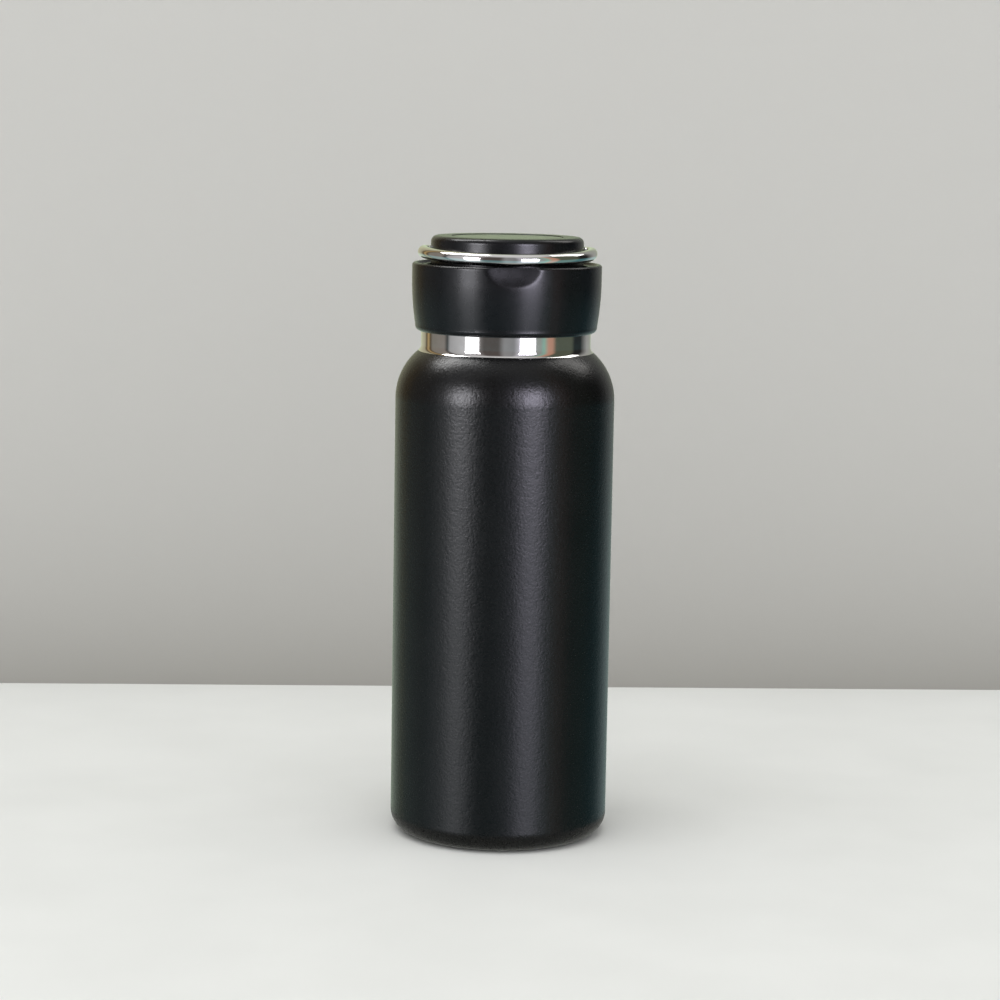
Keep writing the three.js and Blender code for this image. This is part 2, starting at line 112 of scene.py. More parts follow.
LID_R = radius("lid_shell")
LID_TOP = high("lid_shell").z
LID_BOTTOM = low("lid_shell").z
LID_FLOOR = LID_TOP - 0.8
LID_WIDEST_Z = LID_TOP - 5.4
LID_TOP_THICKNESS = 1.8
LID_BARREL_R = 96       # slow curve of the lid's side below its widest height
LID_BORE_R = 29
LID_MOUTH_R = 28.6      # inward lip at the lid's mouth
LID_BOTTOM_FILLET = 1.8
NOTCH_HALF = (23, 1.5, 6.5)     # half axes of the flat ellipsoid that cuts the thumb notch
NOTCH_RISE = 0.2        # the ellipsoid's centre, above the lid's top
NOTCH_EDGE = 0.22       # softness of the notch's edge
SCREW_POST_R = 3.6
SCREW_POST_BOTTOM = LID_TOP - 8
SCREW_HOLE_R = 1.8
SCREW_HOLE_BOTTOM = LID_TOP - 7
LINING_ROOT_R = 27.3
PLUG_R = 23

BOSS_R = radius("handle_boss")
BOSS_TOP = high("handle_boss").z
INLAY_POCKET_R = radius("top_inlay") + GAP
INLAY_POCKET_DEPTH = 1.8
COUNTERBORE_R = 3.1
COUNTERBORE_DEPTH = 3.9
SOCKET_START_X = 21     # sockets for the ring's bushes in the boss's sides
SOCKET_END_X = 27
WIRE_R = 2
RING_R = 27.85
RING_BEND_R = 2.2
RING_TILT = math.asin((PIVOT_Z - low("carry_ring").z - WIRE_R) / RING_R)
PIN_R = 1.5
PIN_TIP_X = 21.6
BUSH_R = high("pivot_bush_right").z - PIVOT_Z


# ---------- outlines ----------
def rounded(corners, closed=True):
    """Outline through (radius, height, fillet) corners, with each fillet drawn as an arc."""
    outline = []
    count = len(corners)
    for i, (r, z, fillet) in enumerate(corners):
        here = Vector((r, z))
        at_end = not closed and i in (0, count - 1)
        if fillet <= 0 or at_end:
            outline.append(here)
            continue
        to_last = (Vector(corners[i - 1][:2]) - here).normalized()
        to_next = (Vector(corners[(i + 1) % count][:2]) - here).normalized()
        half_turn = to_last.angle(to_next) / 2
        centre = here + (to_last + to_next).normalized() * (fillet / math.sin(half_turn))
        start, end = (here + side * (fillet / math.tan(half_turn)) - centre for side in (to_last, to_next))
        start_angle = math.atan2(start.y, start.x)
        sweep = (math.atan2(end.y, end.x) - start_angle + math.pi) % (2 * math.pi) - math.pi
        steps = max(2, math.ceil(abs(sweep) / ARC_STEP))
        outline.extend(arc(centre.x, centre.y, fillet, start_angle, start_angle + sweep, steps))
    return outline


def arc(centre_r, centre_z, arc_r, start, end, steps=10):
    """Points on an arc, angles in radians from the outward direction."""
    angles = [start + (end - start) * k / steps for k in range(steps + 1)]
    return [Vector((centre_r + arc_r * math.cos(a), centre_z + arc_r * math.sin(a))) for a in angles]


def divided(outline, low_z, high_z, step):
    """The outline with extra points, at most a step apart, where it runs between two heights."""
    fine = []
    for here, following in zip(outline, outline[1:] + outline[:1]):
        fine.append(here)
        inside = low_z <= min(here.y, following.y) and max(here.y, following.y) <= high_z
        parts = math.ceil((following - here).length / step) if inside else 1
        fine.extend(here.lerp(following, k / parts) for k in range(1, parts))
    return fine


def smooth_step(value):
    t = min(1, max(0, value))
    return t * t * (3 - 2 * t)


# ---------- meshes ----------
def even_columns(count):
    return [2 * math.pi * i / count for i in range(count)]


def around_z(r, z, angle):
    return Vector((r * math.sin(angle), -r * math.cos(angle), z))


def skin(rows, closed):
    """Joins rows of points into a closed skin. A row of one point is a pole."""
    bm = bmesh.new()
    rings = [[bm.verts.new(point) for point in row] for row in rows]
    pairs = list(zip(rings, rings[1:]))
    if closed:
        pairs.append((rings[-1], rings[0]))
    for lower, upper in pairs:
        count = max(len(lower), len(upper))
        for i in range(count):
            j = (i + 1) % count
            below = [lower[i % len(lower)], lower[j % len(lower)]]
            above = [upper[j % len(upper)], upper[i % len(upper)]]
            distinct = list(dict.fromkeys(below + above))
            if len(distinct) > 2:
                bm.faces.new(distinct)
    return bm


def turned(outline, columns=COLUMNS, reshape=None):
    """Turns an outline around Z. reshape(r, z, angle) may move each point within its column."""
    angles = even_columns(columns) if isinstance(columns, int) else columns
    rows = []
    for r, z in outline:
        if r < 1e-4:
            rows.append([Vector((0, 0, z))])
        elif reshape:
            rows.append([around_z(*reshape(r, z, angle), angle) for angle in angles])
        else:
            rows.append([around_z(r, z, angle) for angle in angles])
    return skin(rows, closed=len(rows[0]) > 1)


def clean(bm):
    bmesh.ops.remove_doubles(bm, verts=bm.verts, dist=1e-4)
    bmesh.ops.dissolve_degenerate(bm, edges=bm.edges, dist=1e-4)
    bmesh.ops.recalc_face_normals(bm, faces=bm.faces)
    return bm


def combined(bm, shapes, operation):
    """bm joined with the shapes (UNION) or with the shapes taken out of it (DIFFERENCE)."""
    def as_object(shape):
        mesh = bpy.data.meshes.new("carving")
        clean(shape).to_mesh(mesh)
        shape.free()
        item = bpy.data.objects.new("carving", mesh)
        bpy.context.scene.collection.objects.link(item)
        return item

    target = as_object(bm)
    tools = [as_object(shape) for shape in shapes]
    for tool in tools:
        modifier = target.modifiers.new("cut", "BOOLEAN")
        modifier.operation = operation
        modifier.solver = "MANIFOLD"
        modifier.object = tool
    evaluated = target.evaluated_get(bpy.context.evaluated_depsgraph_get())
    result = bmesh.new()
    result.from_mesh(evaluated.to_mesh())
    evaluated.to_mesh_clear()
    for item in [target, *tools]:
        bpy.data.objects.remove(item)
    return result


def carved(bm, cutters):
    return combined(bm, cutters, "DIFFERENCE")


def cylinder(cylinder_r, start, end, columns=SMALL_COLUMNS):
    """A plain round bar between two points, for joining or cutting."""
    axis = Vector(end) - Vector(start)
    bm = turned([Vector((0, 0)), Vector((cylinder_r, 0)), Vector((cylinder_r, axis.length)),
                 Vector((0, axis.length))], columns)
    turn = axis.to_track_quat("Z", "Y").to_matrix().to_4x4()
    bmesh.ops.transform(bm, matrix=Matrix.Translation(start) @ turn, verts=bm.verts)
    return bm


def add_piece(name, bm, body, material, replaced):
    """Links a finished piece: faces outwards, smooth but for true creases, riding on its body."""
    clean(bm)
    bmesh.ops.scale(bm, vec=(MM, MM, MM), verts=bm.verts)
    for face in bm.faces:
        face.smooth = True
    for edge in bm.edges:
        edge.smooth = edge.calc_face_angle(0) < CREASE
    mesh = bpy.data.meshes.new(name)
    bm.to_mesh(mesh)
    bm.free()
    mesh.materials.append(material)
    piece = bpy.data.objects.new(name, mesh)
    bpy.context.scene.collection.objects.link(piece)
    normals = piece.modifiers.new("even_shading", "WEIGHTED_NORMAL")
    normals.keep_sharp = True
    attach(piece, body)
    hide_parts(replaced)


# ---------- materials ----------
MOTTLE_SPAN = (0.35, 0.65)      # part of a noise's range that a colour's drift uses
ROUGHNESS_SPAN = (0.3, 0.7)


class Look:
    """Builds one procedural material. Texture sizes are given in millimetres."""

    def __init__(self, name):
        self.material = bpy.data.materials.new(name)
        self.material.use_nodes = True
        self.nodes = self.material.node_tree.nodes
        self.nodes.clear()
        self.shader = self.nodes.new("ShaderNodeBsdfPrincipled")
        output = self.nodes.new("ShaderNodeOutputMaterial")
        self.join(self.shader.outputs["BSDF"], output.inputs["Surface"])
        self.place = self.nodes.new("ShaderNodeTexCoord").outputs["Object"]
        self.height = None

    def join(self, source, target):
        self.material.node_tree.links.new(source, target)

    def set(self, name, value):
        self.shader.inputs[name].default_value = value

    def noise(self, size, detail=2.0, stretch=(1, 1, 1)):
        mapping = self.nodes.new("ShaderNodeMapping")
        mapping.inputs["Scale"].default_value = [axis / (size * MM) for axis in stretch]
        self.join(self.place, mapping.inputs["Vector"])
        noise = self.nodes.new("ShaderNodeTexNoise")
        noise.inputs["Scale"].default_value = 1
        noise.inputs["Detail"].default_value = detail
        self.join(mapping.outputs["Vector"], noise.inputs["Vector"])
        return noise.outputs["Fac"]

    def remap(self, value, from_low, from_high, to_low, to_high):
        node = self.nodes.new("ShaderNodeMapRange")
        numbers = {"From Min": from_low, "From Max": from_high, "To Min": to_low, "To Max": to_high}
        for name, number in numbers.items():
            node.inputs[name].default_value = number
        self.join(value, node.inputs["Value"])
        return node.outputs["Result"]

    def calculated(self, operation, first, second=0.0):
        node = self.nodes.new("ShaderNodeMath")
        node.operation = operation
        self.join(first, node.inputs[0])
        node.inputs[1].default_value = second
        return node.outputs["Value"]

    def axis(self, name):
        """One coordinate of the surface point, in millimetres."""
        split = self.nodes.new("ShaderNodeSeparateXYZ")
        self.join(self.place, split.inputs["Vector"])
        return self.calculated("DIVIDE", split.outputs[name], MM)

    def colour(self, value, dark, light):
        """Base colour from dark to light as value goes from 0 to 1."""
        mix = self.nodes.new("ShaderNodeMix")
        mix.data_type = "RGBA"
        mix.inputs["A"].default_value = (*dark, 1)
        mix.inputs["B"].default_value = (*light, 1)
        self.join(value, mix.inputs["Factor"])
        self.join(mix.outputs["Result"], self.shader.inputs["Base Color"])

    def mottled(self, size, dark, light, detail=2.0):
        """Base colour that drifts between dark and light in patches of a size."""
        patches = self.noise(size, detail)
        self.colour(self.remap(patches, *MOTTLE_SPAN, 0, 1), dark, light)

    def roughness(self, value, low_value, high_value):
        rough = self.remap(value, *ROUGHNESS_SPAN, low_value, high_value)
        self.join(rough, self.shader.inputs["Roughness"])

    def bump(self, value, depth, strength=1.0):
        """Adds relief of a depth in millimetres."""
        node = self.nodes.new("ShaderNodeBump")
        node.inputs["Distance"].default_value = depth * MM
        node.inputs["Strength"].default_value = strength
        self.join(value, node.inputs["Height"])
        if self.height:
            self.join(self.height, node.inputs["Normal"])
        self.height = node.outputs["Normal"]
        self.join(self.height, self.shader.inputs["Normal"])


def powder_coat():
    look = Look("powder_coat")
    speckle = look.noise(0.7, detail=3)
    look.mottled(18, (0.0016, 0.0017, 0.0018), (0.0030, 0.0031, 0.0032))
    look.roughness(speckle, 0.25, 0.32)
    look.set("Specular IOR Level", 0.3)
    look.bump(look.noise(1.6), 0.05)
    look.bump(speckle, 0.06)
    return look.material


def black_plastic():
    look = Look("black_plastic")
    look.mottled(12, (0.0022, 0.0022, 0.0032), (0.0034, 0.0034, 0.0048))
    look.roughness(look.noise(2.5), 0.26, 0.30)
    look.set("Specular IOR Level", 0.3)
    look.bump(look.noise(0.35), 0.006)
    return look.material


def inlay_plastic():
    look = Look("inlay_plastic")
    look.mottled(9, (0.006, 0.007, 0.0065), (0.008, 0.009, 0.0085))
    look.roughness(look.noise(3), 0.2, 0.27)
    look.bump(look.noise(0.5), 0.003)
    return look.material


def polished_steel():
    look = Look("polished_steel")
    look.set("Metallic", 1)
    look.mottled(6, (0.72, 0.70, 0.68), (0.78, 0.765, 0.745))
    look.roughness(look.noise(1.5), 0.035, 0.07)
    look.bump(look.noise(0.5, stretch=(1, 1, 14)), 0.0015)
    return look.material


def satin_steel():
    look = Look("satin_steel")
    look.set("Metallic", 1)
    look.mottled(8, (0.50, 0.49, 0.475), (0.60, 0.585, 0.57))
    look.roughness(look.noise(0.8, stretch=(0.2, 0.2, 8)), 0.22, 0.36)
    look.bump(look.noise(0.6, stretch=(0.2, 0.2, 8)), 0.004)
    return look.material


def screw_steel():
    look = Look("screw_steel")
    look.set("Metallic", 1)
    look.mottled(1.5, (0.40, 0.39, 0.38), (0.52, 0.51, 0.49))
    look.roughness(look.noise(0.6), 0.25, 0.38)
    look.bump(look.noise(0.25), 0.003)
    return look.material


def white_plastic():
    look = Look("white_plastic")
    look.mottled(14, (0.66, 0.65, 0.61), (0.72, 0.71, 0.68))
    look.roughness(look.noise(2), 0.34, 0.42)
    look.set("Subsurface Weight", 0.15)
    look.set("Subsurface Radius", (2 * MM, 2 * MM, 1.6 * MM))
    look.bump(look.noise(0.4), 0.005)
    return look.material


def silicone():
    look = Look("silicone")
    look.mottled(5, (0.60, 0.59, 0.56), (0.68, 0.67, 0.64))
    look.roughness(look.noise(1.2), 0.42, 0.55)
    look.set("Subsurface Weight", 0.4)
    look.set("Subsurface Radius", (1.5 * MM, 1.5 * MM, 1.2 * MM))
    look.bump(look.noise(0.3), 0.006)
    return look.material


def foam():
    look = Look("foam")
    look.mottled(2.2, (0.66, 0.60, 0.45), (0.80, 0.76, 0.62), detail=4)
    look.roughness(look.noise(1), 0.85, 0.95)
    look.bump(look.noise(0.8, detail=5), 0.15)
    return look.material


def getter_metal():
    look = Look("getter_metal")
    look.set("Metallic", 0.6)
    look.mottled(0.4, (0.06, 0.06, 0.065), (0.14, 0.14, 0.15), detail=4)
    look.roughness(look.noise(0.5), 0.65, 0.85)
    look.bump(look.noise(0.3, detail=4), 0.04)
    return look.material


def glass_bead():
    look = Look("glass_bead")
    look.mottled(1.2, (0.10, 0.11, 0.09), (0.17, 0.18, 0.15))
    look.roughness(look.noise(1), 0.12, 0.25)
    look.bump(look.noise(1), 0.02)
    return look.material


POWDER_COAT = powder_coat()
BLACK_PLASTIC = black_plastic()
INLAY_PLASTIC = inlay_plastic()
POLISHED_STEEL = polished_steel()
SATIN_STEEL = satin_steel()
SCREW_STEEL = screw_steel()
WHITE_PLASTIC = white_plastic()
SILICONE = silicone()
FOAM = foam()
GETTER_METAL = getter_metal()
GLASS_BEAD = glass_bead()


# ---------- flask body ----------
def shoulder_end(arc_r, neck_r, fillet_r):
    """Angle at which a shoulder's arc meets the hollow fillet that turns it up into a neck."""
    return math.acos((neck_r + fillet_r - SHOULDER_CENTRE_R) / (arc_r + fillet_r))


SHELL_END = shoulder_end(SHOULDER_R, NECK_R, NECK_FILLET_R)
SHOULDER_Z = high("outer_shell").z - SHOULDER_R * math.sin(SHELL_END)


def neck_fillet(arc_r, neck_r, fillet_r):
    """Hollow fillet from the shoulder up to the vertical neck."""
    end = shoulder_end(arc_r, neck_r, fillet_r)
    centre_z = SHOULDER_Z + (arc_r + fillet_r) * math.sin(end)
    return arc(neck_r + fillet_r, centre_z, fillet_r, math.pi + end, math.pi, 12)


def outer_shell():
    corner_r = BODY_R - BASE_CORNER_R
    inner_corner_r = BASE_CORNER_R - SHEET
    edge = 0.12         # the coat's softly rounded upper edge
    edge_turn = edge / SHOULDER_R
    outline = [
        Vector((FOOT_INNER_R, 0.25)),
        Vector((FOOT_INNER_R + 0.25, 0)),
        *arc(corner_r, BASE_CORNER_R, BASE_CORNER_R, -math.pi / 2, 0, 16),
        *arc(SHOULDER_CENTRE_R, SHOULDER_Z, SHOULDER_R, 0, SHELL_END - edge_turn, 28),
        *arc(SHOULDER_CENTRE_R, SHOULDER_Z, SHOULDER_R - edge, SHELL_END, SHELL_END, 1)[:1],
        *arc(SHOULDER_CENTRE_R, SHOULDER_Z, SHOULDER_R - SHEET, SHELL_END, 0, 20),
        *arc(corner_r, BASE_CORNER_R, inner_corner_r, 0, -math.pi / 2, 10),
        Vector((FOOT_INNER_R, SHEET)),
    ]
    add_piece("powder_coated_body", turned(outline), "flask", POWDER_COAT, "outer_shell")


def thread_rise(z, turn_at_angle, start_z, turns):
    """How far the screw ridge stands out at a height; turn_at_angle is the share of a turn already made."""
    rise = 0
    for whole in range(math.ceil(turns) + 1):
        along = turn_at_angle % 1 + whole
        if along <= turns:
            off = abs(z - start_z - THREAD_LEAD * along)
            flank = (THREAD_BASE / 2 - off) / ((THREAD_BASE - THREAD_CREST) / 2)
            run_out = min(along, turns - along) / 0.12
            rise = max(rise, THREAD_HEIGHT * smooth_step(flank) * smooth_step(run_out))
    return rise


def neck_ring():
    cone_top = NECK_BAND_TOP + 2
    mouth_z = high("neck_ring").z
    outer = neck_fillet(SHOULDER_R, NECK_R, NECK_FILLET_R)
    inner = [point - Vector((0.7, 0)) for point in outer]
    thread_side = [Vector((THREAD_ROOT_R, cone_top + 0.5)), Vector((THREAD_ROOT_R, mouth_z - 0.3))]
    below_thread = rounded([
        (NECK_R, outer[-1].y + 0.5, 0),
        (NECK_R, NECK_BAND_TOP, 0.8),
        (THREAD_ROOT_R, cone_top, 0.6),
        (*thread_side[0], 0),
    ], closed=False)
    above_thread = rounded([
        (*thread_side[1], 0),
        (THREAD_ROOT_R, mouth_z, 0.15),
        (THREAD_ROOT_R - SHEET, mouth_z, 0.15),
        (THREAD_ROOT_R - SHEET, cone_top, 0.6),
        (NECK_R - 0.7, NECK_BAND_TOP, 0.6),
        (NECK_R - 0.7, inner[-1].y + 0.5, 0),
    ], closed=False)
    row_count = round((thread_side[1].y - thread_side[0].y) / 0.16)
    thread_rows = [thread_side[0].lerp(thread_side[1], k / row_count) for k in range(1, row_count)]
    outline = [*outer, *below_thread, *thread_rows, *above_thread, *reversed(inner)]

    def with_thread(r, z, angle):
        on_outside = abs(r - THREAD_ROOT_R) < 0.01
        rise = thread_rise(z, angle / (2 * math.pi) - 0.25, THREAD_START, THREAD_TURNS) if on_outside else 0
        return r + rise, z

    add_piece("steel_neck", turned(outline, reshape=with_thread), "flask", POLISHED_STEEL, "neck_ring")


def inner_liner():
    arc_r = LINER_R - SHOULDER_CENTRE_R
    bore_r = LINER_NECK_R - LINER_SHEET
    end = shoulder_end(arc_r, LINER_NECK_R, LINER_FILLET_R)
    weld_z = low("inner_liner").z
    rim = rounded([
        (LINER_NECK_R, LIP_Z - 3, 0),
        (LINER_NECK_R, LIP_Z - LINER_SHEET, 0.2),
        (THREAD_ROOT_R, LIP_Z - LINER_SHEET, 0.12),
        (THREAD_ROOT_R, LIP_Z, 0.35),
        (bore_r, LIP_Z, 0.5),
        (bore_r, LIP_Z - 3, 0),
    ], closed=False)
    outline = [
        Vector((LINER_R, weld_z)),
        *arc(SHOULDER_CENTRE_R, SHOULDER_Z, arc_r, 0, end, 20),
        *neck_fillet(arc_r, LINER_NECK_R, LINER_FILLET_R)[1:],
        *rim,
        *reversed(neck_fillet(arc_r - LINER_SHEET, bore_r, LINER_FILLET_R + LINER_SHEET)),
        *arc(SHOULDER_CENTRE_R, SHOULDER_Z, arc_r - LINER_SHEET, end, 0, 20)[1:],
        Vector((LINER_R - LINER_SHEET, weld_z)),
    ]
    add_piece("steel_liner", turned(outline), "flask", SATIN_STEEL, "inner_liner")


def liner_base():
    corner = 8
    floor = low("liner_base").z
    weld_z = high("liner_base").z
    dome = 1.2
    dome_r = LINER_R * 0.55
    dome_fillet = 12
    outline = rounded([
        (0, floor + dome, 0),
        (dome_r, floor, dome_fillet),
        (LINER_R, floor, corner),
        (LINER_R, weld_z, 0.1),
        (LINER_R - LINER_SHEET, weld_z, 0.1),
        (LINER_R - LINER_SHEET, floor + LINER_SHEET, corner - LINER_SHEET),
        (dome_r, floor + LINER_SHEET, dome_fillet),
        (0, floor + dome + LINER_SHEET, 0),
    ], closed=False)
    add_piece("liner_floor", turned(outline), "flask", SATIN_STEEL, "liner_base")


def vacuum_base():
    plate = low("vacuum_base").z
    rim = high("vacuum_base").z
    edge_r = radius("vacuum_base")
    hole_r = 1.5
    outline = rounded([
        (hole_r, plate, 0.1),
        (edge_r, plate, 1.4),
        (edge_r, rim, 0.15),
        (edge_r - SHEET, rim, 0.15),
        (edge_r - SHEET, plate + SHEET, 0.8),
        (hole_r, plate + SHEET, 0.1),
    ])
    add_piece("vacuum_plate", turned(outline), "flask", SATIN_STEEL, "vacuum_base")


def seal_bead():
    base = low("seal_bead").z
    top = high("seal_bead").z
    shoulder = base + 1.6
    outline = rounded([
        (0, base, 0),
        (radius("seal_bead") * 0.75, base, 0.9),
        (radius("seal_bead"), shoulder - 0.3, 0.5),
        (radius("seal_bead") - 0.4, shoulder, 0.25),
        (1.2, shoulder, 0.1),
        (1.2, top, 0.3),
        (0, top, 0),
    ], closed=False)
    add_piece("evacuation_bead", turned(outline, SMALL_COLUMNS), "flask", GLASS_BEAD, "seal_bead")


def getter():
    low_corner, high_corner = low("getter_cup"), high("getter_cup")
    middle = (low_corner + high_corner) / 2
    to_place = Matrix.Translation((middle.x, middle.y, 0))
    cup_r, base, rim = radius("getter_cup"), low_corner.z, high_corner.z
    wall = 0.3
    cup = rounded([
        (0, base, 0), (cup_r, base, 0.5), (cup_r, rim, 0.12), (cup_r - wall, rim, 0.12),
        (cup_r - wall, base + wall, 0.25), (0, base + wall, 0),
    ], closed=False)
    pellet_r, foot, top = radius("getter_pellet"), low("getter_pellet").z, high("getter_pellet").z
    pellet = rounded([(0, foot, 0), (pellet_r, foot, 0.2), (pellet_r, top, 0.2), (0, top, 0)], closed=False)
    for name, outline, look, node in [("getter_holder", cup, SATIN_STEEL, "getter_cup"),
                                      ("getter_tablet", pellet, GETTER_METAL, "getter_pellet")]:
        bm = turned(outline, SMALL_COLUMNS)
        bmesh.ops.transform(bm, matrix=to_place, verts=bm.verts)
        add_piece(name, bm, "flask", look, node)


def base_cap():
    edge_r = radius("base_cap")
    rim, plate_top = low("base_cap").z, high("base_cap").z
    plate = plate_top - SHEET
    step_r = 17         # a shallow pressed step in the sunk bottom
    outline = rounded([
        (0, plate, 0),
        (step_r, plate, 1.5),
        (step_r + 1.2, plate - 0.5, 1.5),
        (edge_r - 2, plate - 0.5, 0.8),
        (edge_r - SHEET, rim, 0.15),
        (edge_r, rim, 0.15),
        (edge_r, plate_top, 0.3),
        (0, plate_top, 0),
    ], closed=False)
    add_piece("bottom_disc", turned(outline), "flask", POWDER_COAT, "base_cap")


# ---------- lid ----------
def screw_axes():
    """Centres of the boss screws, in plan."""
    nodes = [f"boss_screw_{i}" for i in (1, 2, 3)]
    return {node: (low(node) + high(node)) / 2 for node in nodes}


def lid_side_r(z):
    below = max(0, LID_WIDEST_Z - z)
    return LID_R - LID_BARREL_R + math.sqrt(LID_BARREL_R ** 2 - below ** 2)


def front_dense_columns(half_angle, fine_step, coarse_count):
    """Columns that are close together around the front and even elsewhere."""
    fine_count = math.ceil(2 * half_angle / fine_step)
    fine = [-half_angle + 2 * half_angle * i / fine_count for i in range(fine_count)]
    rest = 2 * math.pi - 2 * half_angle
    return fine + [half_angle + rest * i / coarse_count for i in range(coarse_count)]


def notched(r, z, angle):
    """Moves a point of the lid's outside in to the thumb notch's surface, across a softened edge."""
    near_front = math.cos(angle) > 0.8 and z > LID_TOP - 10 and r > LID_R - 2.5
    if not near_front:
        return r, z
    half_x, half_y, half_z = NOTCH_HALF
    across = LID_R * math.sin(angle) / half_x
    down = (LID_TOP + NOTCH_RISE - z) / half_z
    depth = half_y * (1 - across ** 2) * (1 - down ** 2)
    notch_r = (LID_R - depth) / math.cos(angle)
    return (r + notch_r - math.hypot(r - notch_r, NOTCH_EDGE)) / 2, z


def lid_shell():
    deck = LID_FLOOR - LID_TOP_THICKNESS
    side_start = LID_BOTTOM + LID_BOTTOM_FILLET
    side_heights = [side_start + (LID_WIDEST_Z - side_start) * i / 14 for i in range(15)]
    side = [Vector((lid_side_r(z), z)) for z in side_heights]
    corner_centre_r = side[0].x - LID_BOTTOM_FILLET + 0.05     # a hair out, to meet the side's lean
    rim_inner_r = LID_R - 1.5
    rim = rounded([
        (LID_R, LID_WIDEST_Z + 0.4, 0),
        (LID_R, LID_TOP, 0.9),
        (rim_inner_r, LID_TOP, 0.3),
        (rim_inner_r - 0.5, LID_FLOOR, 0.25),
        (rim_inner_r - 3, LID_FLOOR, 0),
    ], closed=False)
    upper = divided([side[-1], *rim], LID_WIDEST_Z - 0.5, LID_TOP + 0.1, 0.25)
    side_fine = divided(side, LID_TOP - 9, LID_TOP, 0.25)
    outline = [
        Vector((0, deck)),
        *rounded([
            (LID_BORE_R - 4, deck, 0),
            (LID_BORE_R, deck, 0.8),
            (LID_BORE_R, side_start + 0.6, 0.2),
            (LID_MOUTH_R, side_start + 0.2, 0.2),
            (LID_MOUTH_R, LID_BOTTOM, 0.25),
            (LID_MOUTH_R + 0.3, LID_BOTTOM, 0),
        ], closed=False),
        *arc(corner_centre_r, side_start, LID_BOTTOM_FILLET, -1.25, -0.1, 9),
        *side_fine[:-1],
        *upper,
        Vector((0, LID_FLOOR)),
    ]
    columns = front_dense_columns(math.radians(24), math.radians(0.4), 150)
    bm = turned(outline, columns, notched)
    posts = []
    holes = []
    for c in screw_axes().values():
        posts.append(cylinder(SCREW_POST_R, (c.x, c.y, SCREW_POST_BOTTOM), (c.x, c.y, deck + 0.5)))
        holes.append(cylinder(SCREW_HOLE_R, (c.x, c.y, SCREW_HOLE_BOTTOM), (c.x, c.y, LID_TOP + 1)))
    bm = carved(combined(bm, posts, "UNION"), holes)
    add_piece("lid_casing", bm, "lid", BLACK_PLASTIC, "lid_shell")


def lid_liner():
    bottom, top = low("lid_liner").z, high("lid_liner").z
    outer_r = radius("lid_liner")
    flange = top - 1.8
    skirt_bottom = LIP_Z - 11.7
    wall = 1.5
    outline = rounded([
        (0, bottom, 0),
        (PLUG_R, bottom, 1.6),
        (PLUG_R, flange, 0.4),
        (LINING_ROOT_R, flange, 0.4),
        (LINING_ROOT_R, skirt_bottom, 0.3),
        (outer_r, skirt_bottom, 0.3),
        (outer_r, top, 0.4),
        (PLUG_R - wall, top, 0.3),
        (PLUG_R - wall, bottom + wall, 0.8),
        (0, bottom + wall, 0),
    ], closed=False)
    outline = divided(outline, skirt_bottom - 0.1, flange + 0.1, 0.16)

    def with_thread(r, z, angle):
        on_root = abs(r - LINING_ROOT_R) < 0.01
        start = THREAD_START + THREAD_LEAD / 4
        rise = thread_rise(z, angle / (2 * math.pi), start, THREAD_TURNS) if on_root else 0
        return r - rise, z

    add_piece("lid_lining", turned(outline, reshape=with_thread), "lid", WHITE_PLASTIC, "lid_liner")


def lid_foam():
    bottom, top, edge_r = low("lid_foam").z, high("lid_foam").z, radius("lid_foam")
    outline = rounded([(0, bottom, 0), (edge_r, bottom, 0.8), (edge_r, top, 0.4), (0, top, 0)], closed=False)
    post_hole_r = SCREW_POST_R + GAP
    hole_bottom = SCREW_POST_BOTTOM - GAP
    cutters = []
    for c in screw_axes().values():
        cutters.append(cylinder(post_hole_r, (c.x, c.y, hole_bottom), (c.x, c.y, top + 1)))
    add_piece("foam_insulation", carved(turned(outline, 96), cutters), "lid", FOAM, "lid_foam")


def lid_gasket():
    bottom, top = low("lid_gasket").z, high("lid_gasket").z
    inner_r, outer_r = PLUG_R + 0.3, radius("lid_gasket")
    seat = bottom + 0.5
    outline = rounded([
        (inner_r, seat, 0.2),
        (24.1, seat, 0.15),
        (24.7, bottom, 0.25),
        (25.5, bottom, 0.25),
        (26.1, seat, 0.15),
        (outer_r, seat, 0.2),
        (outer_r, top, 0.2),
        (inner_r, top, 0.2),
    ])
    add_piece("silicone_gasket", turned(outline), "seal", SILICONE, "lid_gasket")


# ---------- boss, inlay and screws ----------
def handle_boss():
    bottom = low("handle_boss").z
    pocket = BOSS_TOP - INLAY_POCKET_DEPTH
    outline = rounded([
        (0, bottom, 0),
        (BOSS_R, bottom, 0.3),
        (BOSS_R - 0.1, BOSS_TOP, 2.0),
        (INLAY_POCKET_R, BOSS_TOP, 0.15),
        (INLAY_POCKET_R, pocket, 0.2),
        (0, pocket, 0),
    ], closed=False)
    cutters = []
    for side in (-1, 1):
        socket_start = (side * SOCKET_START_X, 0, PIVOT_Z)
        cutters.append(cylinder(BUSH_R + 0.15, socket_start, (side * SOCKET_END_X, 0, PIVOT_Z)))
    for c in screw_axes().values():
        cutters.append(cylinder(SCREW_HOLE_R, (c.x, c.y, bottom - 1), (c.x, c.y, BOSS_TOP)))
        counterbore_z = BOSS_TOP - COUNTERBORE_DEPTH
        cutters.append(cylinder(COUNTERBORE_R, (c.x, c.y, counterbore_z), (c.x, c.y, BOSS_TOP)))
    add_piece("ring_boss", carved(turned(outline), cutters), "lid", BLACK_PLASTIC, "handle_boss")


